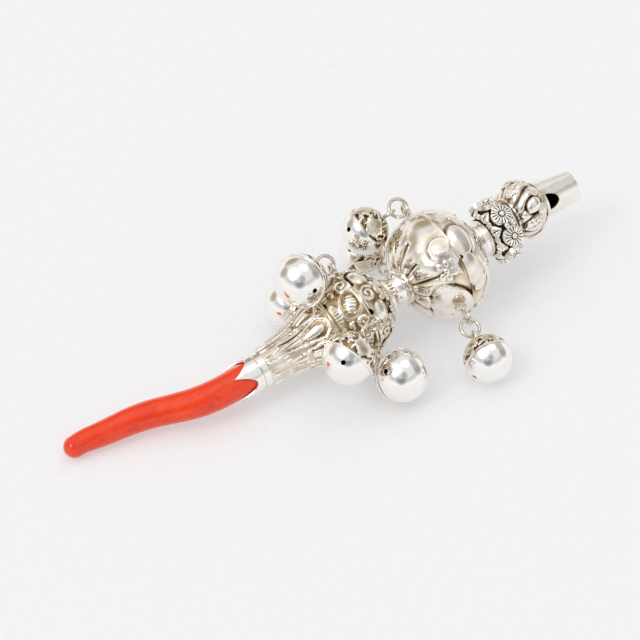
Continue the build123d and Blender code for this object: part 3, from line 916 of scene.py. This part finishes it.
def rosettes():
    """Eight daisy studs round the rosette knop."""
    local, cavity = daisy()
    rings, columns = cavity.shape
    points, faces, shades = [], [[], []], []
    count = 0
    middle = (KNOP_REAR + KNOP_MIDDLE) / 2
    for number in range(8):
        angle = math.radians(FIRST_ROSETTE + 45 * number)
        out = SIDE * math.cos(angle) + UP * math.sin(angle)
        round_stem = np.cross(ALONG, out)
        base = STEM_ORIGIN + MM * middle * ALONG
        placed = base + MM * (local @ np.stack([ALONG, round_stem, out]))
        foot = base + MM * out * (ROSETTE_TOP - DAISY_SIDE)
        crown = base + MM * out * (ROSETTE_TOP + DAISY_BOSS)
        points += [placed.reshape(-1, 3), foot[None], crown[None]]
        faces[0].append(tube_faces(rings, columns, False)[:, ::-1] + count)
        size = rings * columns
        ring, after = ring_edges(columns)
        last = size - columns
        faces[1].append(fan(size, after, ring) + count)
        faces[1].append(fan(size + 1, last + ring, last + after) + count)
        shades += [cavity.ravel(), [0.8, 0.2]]
        count += size + 2
    faces = [np.concatenate(group) for group in faces]
    return make_mesh("rosettes_petalled", np.concatenate(points), faces, np.concatenate(shades), 50)


def fluted_knop():
    """The swirled knop, a little off the stem's axis."""
    outline = resample(bead(KNOP_MIDDLE, KNOP_FRONT, FLUTED_RADIUS, KNOP_END_RADIUS), 0.13)
    relief = Relief(outline, 380)
    relief.height -= 0.5
    share = (relief.station - KNOP_MIDDLE)[:, None] / (KNOP_FRONT - KNOP_MIDDLE)
    swirl = relief.angle[None, :] + 38 * share
    flute = np.abs(np.cos(np.radians(swirl * 7))) ** 0.6
    relief.raise_to(-0.55 + 0.6 * flute * np.sin(math.pi * share) ** 0.5)
    for number in range(4):
        angle = 132 + number * 90
        relief.boss(27.0, angle, 2.5, 1.9, 0.9, -25, -0.3)
        relief.outline_oval(27.0, angle, 2.7, 2.1, 0.22, -0.3, -25)
        relief.leaf(22.8, angle + 44, 7.4, 1.8, 0.75, -22, 3, 0.08, -0.3)
        relief.leaf(27.2, angle + 16, 3.9, 1.6, 0.6, 0, 3, 0.0, -0.2)
        relief.leaf(27.6, angle - 26, 3.6, 1.5, 0.6, 0, 3, 0.0, -0.2)
    relief.ring(KNOP_FRONT - 0.4, 0.25, 0.2)
    relief.ring(KNOP_MIDDLE + 0.35, 0.25, 0.25)
    relief.hammer(0.08, 41)
    relief.fade(0.2, 0.2)
    return turned_piece("fluted_knop_chased", relief, WALL, 0.8, 0.6, FLUTED_CENTRE)


# ---- whistle ----
def mouthpiece():
    """The beak: a round foot on the knop, thin oval lips, a flat facet and the D-shaped window."""
    columns, rows = 260, 92
    angle = np.arange(columns)[None, :] * 360 / columns
    station = np.linspace(KNOP_FRONT, MOUTH_END, rows)[:, None] + np.zeros((1, columns))
    share = (station - KNOP_FRONT) / (MOUTH_END - KNOP_FRONT)
    towards = np.radians(angle - WINDOW_ANGLE)
    height = MOUTH_BASE_RADIUS + (MOUTH_HALF_HEIGHT - MOUTH_BASE_RADIUS) * share
    width = MOUTH_BASE_RADIUS + (MOUTH_HALF_WIDTH - MOUTH_BASE_RADIUS) * share
    radius = height * width / np.hypot(width * np.cos(towards), height * np.sin(towards))
    facet = np.radians(angle - FACET_ANGLE)
    flat = np.interp(share, (0, 1), (MOUTH_BASE_RADIUS * 0.97, 3.35))
    cut = flat / np.maximum(np.cos(facet), 0.3)
    fade = np.clip(share / 0.15, 0, 1)
    radius = radius * (1 - fade) + np.minimum(radius, cut) * fade
    lip = np.clip((station - (MOUTH_END - 0.35)) / 0.35, 0, 1)
    radius = radius - 0.18 * lip**2
    centre = [place * (1 - share) for place in FLUTED_CENTRE]
    across = radius * np.sin(towards)
    along = station - KNOP_FRONT - WINDOW_START
    reach = WINDOW_LENGTH * np.sqrt(np.clip(1 - (across / (WINDOW_WIDTH / 2)) ** 2, 0, 1))
    facing = np.cos(towards) > 0
    inside = (along > 0) & (along < reach) & facing
    beside = np.roll(inside, -1, axis=1)
    keep = ~(inside[:-1] & inside[1:] & beside[:-1] & beside[1:])
    walls = [on_stem(station, angle, reached, centre) for reached in (radius, radius - MOUTH_WALL)]
    points = np.concatenate(walls).reshape(-1, 3)
    near_window = np.exp(-(((along - reach) / 0.2) ** 2)) * facing * (along > -0.2)
    shade = np.clip(0.35 + 0.15 * near_window + 0.25 * np.exp(-(((along + WINDOW_START) / 0.3) ** 2)), 0, 1)
    # The inner wall gets 1.0, the darkest: painted shade inside the beak.
    cavity = np.concatenate([shade.ravel(), np.full(shade.size, 1.0)])
    faces = [group[:, ::-1] for group in shell_faces(keep)]
    points, faces, cavity = drop_unused(points, faces, cavity)
    return make_mesh("whistle_mouthpiece_cut", points, faces, cavity, 35)


# ---- bells ----
def unit(vector):
    """The vector at length 1."""
    vector = np.array(vector, float)
    return vector / np.linalg.norm(vector)


JOINTS = {joint["name"]: joint for joint in frame["joints"]}


def bell_axes(number):
    """A bell's centre in metres and its x, y and z axes; z points to its eyelet."""
    swing = JOINTS[f"bell_{number}_swing"]
    centre = np.array(JOINTS[f"bell_{number}_pellet_roll"]["pos_m"], float)
    z_axis = unit(np.array(swing["pos_m"], float) - centre)
    x_axis = unit(swing["axis"])
    return centre, np.stack([x_axis, np.cross(z_axis, x_axis), z_axis])


def sphere_points(latitude, longitude, radius=1.0):
    """Points on a sphere about the origin."""
    lat, lon = np.radians(latitude), np.radians(longitude)
    flat = radius * np.cos(lat) * np.cos(lon), radius * np.cos(lat) * np.sin(lon), radius * np.sin(lat)
    return np.stack(np.broadcast_arrays(*flat), axis=-1)


def on_bell(number, latitude, longitude, radius):
    """Points in the model frame on a sphere about a bell's centre."""
    centre, axes = bell_axes(number)
    return centre + MM * (sphere_points(latitude, longitude, radius) @ axes)


GOLDEN_TURN = 137.5
CAP_STROKES, CAP_SCROLLS, CAP_TURN = 120, 5, 23
CAP_INNER_ROWS, SHADED = 10, 0.8


def bell_cap(number, radius):
    """The chased upper half of a bell, from the seam to the pole."""
    step = math.degrees(0.16 / radius)
    latitudes = np.linspace(0, 90 - step, int(90 / step))
    angles = np.radians(latitudes)
    outline = np.stack([radius * np.sin(angles), radius * np.cos(angles)], axis=1)
    relief = Relief(outline, 252)
    relief.height -= 0.4
    for stroke in range(CAP_STROKES):
        along = radius * 0.93 * (stroke + 0.5) / CAP_STROKES
        angle = stroke * GOLDEN_TURN + number * CAP_TURN
        turn = 75 * math.sin(0.9 * stroke + number)
        relief.leaf(along, angle, 2.1, 0.42, 0.5, turn, 2, 0.2 * (-1) ** stroke, -0.4)
    for scroll in range(CAP_SCROLLS):
        angle = scroll * 360 / CAP_SCROLLS + number * CAP_TURN
        relief.scroll(radius * 0.45, angle + 22, 1.1, 1.5, 0.26, -0.05, 40, 1)
    relief.ring(radius * 0.06, 0.16, 0.12)
    pole = (latitudes > 72)[:, None]
    relief.height = np.where(pole, np.maximum(relief.height, -0.12), relief.height)
    relief.hammer(0.04, 60 + number)
    relief.height *= 0.62
    relief.hold(-0.32, 0.06)
    relief.fade(0.35, 1.2)
    station, angle, reach = relief.surface()
    columns = len(relief.angle)
    outer_latitude = np.degrees(np.arctan2(station, reach))
    outer_radius = np.hypot(station, reach)
    inner_latitude = np.r_[np.linspace(84, 0, CAP_INNER_ROWS), 0.0][:, None]
    inner_radius = radius - BELL_WALL
    parts = [
        on_bell(number, outer_latitude, angle, outer_radius),
        on_bell(number, inner_latitude, relief.angle[None, :], inner_radius),
        on_bell(number, 90.0, 0.0, np.array([radius, inner_radius])),
    ]
    points = np.concatenate([part.reshape(-1, 3) for part in parts])
    rows, inner_rows = len(latitudes), CAP_INNER_ROWS + 1
    outer = tube_faces(rows, columns, False)
    inner = tube_faces(inner_rows, columns, False) + rows * columns
    ring, after = ring_edges(columns)
    last_outer, first_inner = (rows - 1) * columns, rows * columns
    last_inner = (rows + inner_rows - 1) * columns
    top = len(points) - 2
    seam = np.stack([ring, after, last_inner + after, last_inner + ring], axis=1)
    triangles = [
        fan(top, last_outer + after, last_outer + ring),
        fan(top + 1, first_inner + ring, first_inner + after),
    ]
    cavity = np.concatenate([relief.cavity(0.6, 0.42).ravel(), np.full(inner_rows * columns + 2, SHADED)])
    quads = np.concatenate([outer, inner, seam])[:, ::-1]
    triangles = np.concatenate(triangles)[:, ::-1]
    return make_mesh(f"bell_{number}_cap_chased", points, [quads, triangles], cavity)


def drill(flat, axis, hole):
    """Marks the quads inside a round hole and draws the hole's edge to a true circle."""
    away = np.degrees(np.arccos(np.clip(flat @ axis, -1, 1)))
    beside = np.roll(away, -1, axis=1)
    drilled = (away[:-1] + away[1:] + beside[:-1] + beside[1:]) / 4 < hole
    inside = np.zeros(flat.shape[:2], bool)
    outside = np.zeros(flat.shape[:2], bool)
    for rows in (slice(0, -1), slice(1, None)):
        for shift in (0, 1):
            inside[rows] |= np.roll(drilled, shift, axis=1)
            outside[rows] |= np.roll(~drilled, shift, axis=1)
    rim = inside & outside
    across = flat[rim] - (flat[rim] @ axis)[:, None] * axis
    across /= np.linalg.norm(across, axis=1, keepdims=True)
    flat[rim] = axis * math.cos(math.radians(hole)) + across * math.sin(math.radians(hole))
    return drilled


def turned_rows(profile, longitude):
    """Rows of points for a list of (radius, level) round a bell's axis."""
    across, level = (np.array(column)[:, None] for column in zip(*profile))
    turn = np.radians(longitude)[None, :]
    return np.stack(np.broadcast_arrays(across * np.cos(turn), across * np.sin(turn), level), axis=-1)


def bell_bowl(number, radius):
    """The plain lower half with its seam flange and two round sound holes."""
    step = math.degrees(0.2 / radius)
    columns = 200
    seam_latitude = -math.degrees(SEAM_THICKNESS / radius)
    latitudes = np.linspace(seam_latitude, -90 + step, int(90 / step))
    longitudes = np.arange(columns) * 360 / columns
    flat = sphere_points(latitudes[:, None], longitudes[None, :])
    keep = np.ones((len(latitudes) - 1, columns), bool)
    for side in (0, 180):
        axis = sphere_points(SOUND_HOLE_LATITUDE, BELL_HOLES[number] + side)
        keep &= ~drill(flat, axis, math.degrees(SOUND_HOLE_RADIUS / radius))
    inner_radius, flange = radius - BELL_WALL, radius + SEAM_WIDTH
    bevel_out, bevel_down = 0.08, 0.1
    flange_rows = [
        (flange - bevel_out, 0.0),
        (flange, -bevel_down),
        (flange, bevel_down - SEAM_THICKNESS),
        (flange - bevel_out, -SEAM_THICKNESS),
    ]
    inner_rows = [
        (inner_radius, 0.0),
        (inner_radius, -bevel_down),
        (inner_radius, bevel_down - SEAM_THICKNESS),
        (inner_radius - 0.01, bevel_down / 2 - SEAM_THICKNESS),
    ]
    outer = np.concatenate([turned_rows(flange_rows, longitudes), flat * radius])
    inner = np.concatenate([turned_rows(inner_rows, longitudes), flat * inner_radius])
    keep = np.vstack([np.ones((len(flange_rows), columns), bool), keep])
    size = len(outer) * columns
    last = size - columns
    faces = shell_faces(keep)
    at_pole = np.all(faces[3] % size >= last, axis=1)
    faces[3] = faces[3][~at_pole]
    ring, after = ring_edges(columns)
    triangles = [
        fan(2 * size, last + after, last + ring),
        fan(2 * size + 1, size + last + ring, size + last + after),
    ]
    poles = [[0, 0, -radius], [0, 0, -inner_radius]]
    points = np.concatenate([outer.reshape(-1, 3), inner.reshape(-1, 3), poles])
    centre, axes = bell_axes(number)
    points = centre + MM * (points @ axes)
    # The seam flange is a little darker (0.5) and the band just under it darker still (0.75); the inner wall
    # gets 1.0, painted shade inside the bell.
    cavity = np.full(len(points), 0.3)
    cavity[: 4 * columns] = 0.5
    cavity[4 * columns : 6 * columns] = 0.75
    cavity[size : 2 * size] = 1.0
    points, faces, cavity = drop_unused(points, [np.concatenate(faces), np.concatenate(triangles)], cavity)
    return make_mesh(f"bell_{number}_bowl_drilled", points, faces, cavity, 35)


def jump_ring(number):
    """A bent wire ring with its cut ends nearly meeting."""
    centre = box_centre(f"bell_{number}_ring")
    joint = JOINTS[f"bell_{number}_ring_swing"]
    normal = unit(joint["axis"])
    inward = np.array(joint["pos_m"], float) - centre
    inward = unit(inward - (inward @ normal) * normal)
    side = np.cross(normal, inward)
    around, section = 140, 20
    gap = math.radians(1.6)
    turn = np.linspace(gap, 2 * math.pi - gap, around)
    place = turn + math.radians(100)
    wire = np.arange(section) * 2 * math.pi / section
    out = np.cos(place)[:, None] * inward + np.sin(place)[:, None] * side
    spread = RING_RADIUS + WIRE_RADIUS * np.cos(wire)
    step = 0.03 * (turn - math.pi) / math.pi
    lift = WIRE_RADIUS * np.sin(wire)[None, :] + step[:, None]
    points = centre + MM * (out[:, None, :] * spread[None, :, None] + lift[:, :, None] * normal)
    ends = centre + MM * (out[[0, -1]] * RING_RADIUS + step[[0, -1], None] * normal)
    faces = tube_faces(around, section, False)
    ring, after = ring_edges(section)
    size = around * section
    last = size - section
    caps = np.concatenate([fan(size, ring, after), fan(size + 1, last + after, last + ring)])
    points = np.concatenate([points.reshape(-1, 3), ends])
    return make_mesh(f"bell_{number}_ring_split", points, [faces, caps])


# ---- put it together ----
finish_piece(trumpet(), CHASED, "silver_chased", "root", "trumpet_socket")
finish_piece(collar(), POLISHED, "silver_polished", "root", "crown_collar")
finish_piece(lower_rear(), AGED, "silver_chased", "root", "lower_bulb_rear_shell")
finish_piece(lower_front(), AGED, "silver_chased", "root", "lower_bulb_front_shell")
finish_piece(upper_rear(), CHASED, "silver_chased", "root", "upper_bulb_rear_shell")
finish_piece(upper_front(), CHASED, "silver_chased", "root", "upper_bulb_front_shell")
lower_ends = LOWER_FRONT, UPPER_REAR, LOWER_OPENING, LOWER_WAIST, UPPER_OPENING
upper_ends = UPPER_FRONT, KNOP_REAR, UPPER_OPENING, UPPER_WAIST, KNOP_END_RADIUS
lower_neck = neck("lower_neck_rimmed", *lower_ends, 250)
upper_neck = neck("upper_neck_rimmed", *upper_ends, 148)
finish_piece(lower_neck, POLISHED, "silver_polished", "root", "lower_neck_collar")
finish_piece(upper_neck, POLISHED, "silver_polished", "root", "upper_neck_collar")
finish_piece(rosette_knop(), OXIDISED, "silver_oxidised", "root", "rosette_knop")
finish_piece(rosettes(), OXIDISED, "silver_oxidised", "root", "rosettes")
finish_piece(fluted_knop(), CHASED, "silver_chased", "root", "fluted_knop")
finish_piece(mouthpiece(), BEAK, "silver_polished", "root", "whistle_mouthpiece")
for bell in BELL_HOLES:
    bell_radius = LOWER_BELL_RADIUS if bell <= LOWER_BELLS else UPPER_BELL_RADIUS
    name = f"bell_{bell}"
    finish_piece(bell_cap(bell, bell_radius), AGED, "silver_chased", name, name + "_cap")
    finish_piece(bell_bowl(bell, bell_radius), POLISHED, "silver_polished", name, name + "_bowl")
    finish_piece(jump_ring(bell), WIRE, "silver_wire", name + "_ring", name + "_ring")
    finish_node(name + "_lug", WIRE)
    finish_node(name + "_eyelet", WIRE)
    finish_node(name + "_pellet", IRON)
finish_node("coral_teether", CORAL)
finish_node("socket_cement", CEMENT)
finish_node("fipple_block", NEAR_BLACK_SILVER)
finish_node("chamber_plug", NEAR_BLACK_SILVER)

# ---- floor, lights and camera ----
FLOOR_SIZE = 6.0
floor_points = [(-1, -1, 0), (1, -1, 0), (1, 1, 0), (-1, 1, 0)]
floor = make_mesh("floor", np.array(floor_points) * FLOOR_SIZE / 2, [[(0, 1, 2, 3)]])
paper = plain_material("pale_paper", (0.46, 0.46, 0.47), (0.44, 0.44, 0.45), (0.6, 0.75), 0.4, 0.01)
paper_inputs = paper.node_tree.nodes["Principled BSDF"].inputs
paper_inputs["Emission Color"].default_value = (1.0, 0.995, 1.0, 1)
paper_inputs["Emission Strength"].default_value = 0.41
paper_inputs["Specular IOR Level"].default_value = 0.1
floor.data.materials.append(paper)

CAMERA_AZIMUTH, CAMERA_ELEVATION = -35.1, 45.0
CAMERA_DISTANCE = 0.520
AIM = Vector((0.0002, 0.0113, 0.0046))
SENSOR, LENS = 36.0, 119.93


def direction(azimuth, elevation):
    """Unit vector towards a place in the sky; azimuth 0 is behind a camera that looks along +Y."""
    a, e = math.radians(azimuth), math.radians(elevation)
    return Vector((math.sin(a) * math.cos(e), -math.cos(a) * math.cos(e), math.sin(e)))


back = direction(CAMERA_AZIMUTH, CAMERA_ELEVATION)
camera = bpy.data.objects.new("camera", bpy.data.cameras.new("camera"))
camera.data.sensor_width = SENSOR
camera.data.lens = LENS
camera.data.clip_start, camera.data.clip_end = 0.01, 20
camera.location = AIM + back * CAMERA_DISTANCE
camera.rotation_mode = "QUATERNION"
camera.rotation_quaternion = (-back).to_track_quat("-Z", "Y")
bpy.context.scene.collection.objects.link(camera)
bpy.context.scene.camera = camera


def area_light(name, azimuth, elevation, distance, size, power, colour):
    """A softbox that faces the object."""
    data = bpy.data.lights.new(name, "AREA")
    data.shape = "RECTANGLE"
    data.size, data.size_y = size
    data.energy = power
    data.color = colour
    light = bpy.data.objects.new(name, data)
    towards = direction(azimuth, elevation)
    light.location = towards * distance
    light.rotation_mode = "QUATERNION"
    light.rotation_quaternion = (-towards).to_track_quat("-Z", "Y")
    light.visible_glossy = False
    bpy.context.scene.collection.objects.link(light)


area_light("window", -95, 50, 1.8, (1.8, 1.8), 4.0, (1.0, 0.995, 0.98))
area_light("overhead", 120, 70, 1.8, (2.0, 2.0), 3.0, (0.98, 0.99, 1.0))
area_light("front", -20, 40, 1.8, (1.8, 1.8), 2.0, (1.0, 1.0, 1.0))


def patch(world, towards, inner, outer):
    """1 inside a cone about a direction, falling smoothly to 0 at its outer angle."""
    nodes, links = world.node_tree.nodes, world.node_tree.links
    coordinates = nodes.new("ShaderNodeTexCoord")
    dot = nodes.new("ShaderNodeVectorMath")
    dot.operation = "DOT_PRODUCT"
    dot.inputs[1].default_value = towards
    links.new(coordinates.outputs["Generated"], dot.inputs[0])
    fall = nodes.new("ShaderNodeMapRange")
    fall.interpolation_type = "SMOOTHSTEP"
    fall.inputs["From Min"].default_value = math.cos(math.radians(outer))
    fall.inputs["From Max"].default_value = math.cos(math.radians(inner))
    links.new(dot.outputs["Value"], fall.inputs["Value"])
    return fall.outputs["Result"]


def room():
    """A pale studio: white low down, greyer overhead, with darker and brighter patches."""
    world = bpy.data.worlds.new("studio")
    world.use_nodes = True
    bpy.context.scene.world = world
    nodes, links = world.node_tree.nodes, world.node_tree.links
    colour = None
    layers = [
        ((0, 0, 1), 62, 80, (0.60, 0.60, 0.61)),
        ((0, 0, 1), 44, 66, (0.82, 0.82, 0.82)),
        (direction(-38, 30), 3, 27, (0.27, 0.28, 0.31)),
        (direction(-22, 50), 2, 20, (0.44, 0.45, 0.48)),
        (direction(-46, 44), 2, 14, (0.62, 0.63, 0.65)),
        (direction(66, 26), 4, 26, (0.36, 0.36, 0.36)),
        (direction(88, 38), 4, 22, (0.50, 0.48, 0.45)),
        (direction(172, 30), 6, 24, (0.44, 0.36, 0.28)),
        (direction(-140, 22), 6, 22, (0.50, 0.42, 0.33)),
        (direction(-100, 62), 8, 36, (1.15, 1.15, 1.14)),
        (direction(-84, 47), 4, 12, (8.0, 8.0, 7.8)),
        (direction(100, 72), 6, 22, (1.4, 1.4, 1.38)),
    ]
    for towards, inner, outer, shade in layers:
        mix = nodes.new("ShaderNodeMix")
        mix.data_type = "RGBA"
        links.new(patch(world, towards, inner, outer), mix.inputs["Factor"])
        if colour is None:
            mix.inputs[6].default_value = (0.98, 0.96, 0.93, 1)
        else:
            links.new(colour, mix.inputs[6])
        mix.inputs[7].default_value = (*shade, 1)
        colour = mix.outputs[2]
    links.new(colour, nodes["Background"].inputs["Color"])


room()
bpy.context.scene.view_settings.view_transform = "Standard"
bpy.context.scene.view_settings.look = "None"
bpy.context.scene.view_settings.exposure = 0.0

bpy.context.view_layer.update()
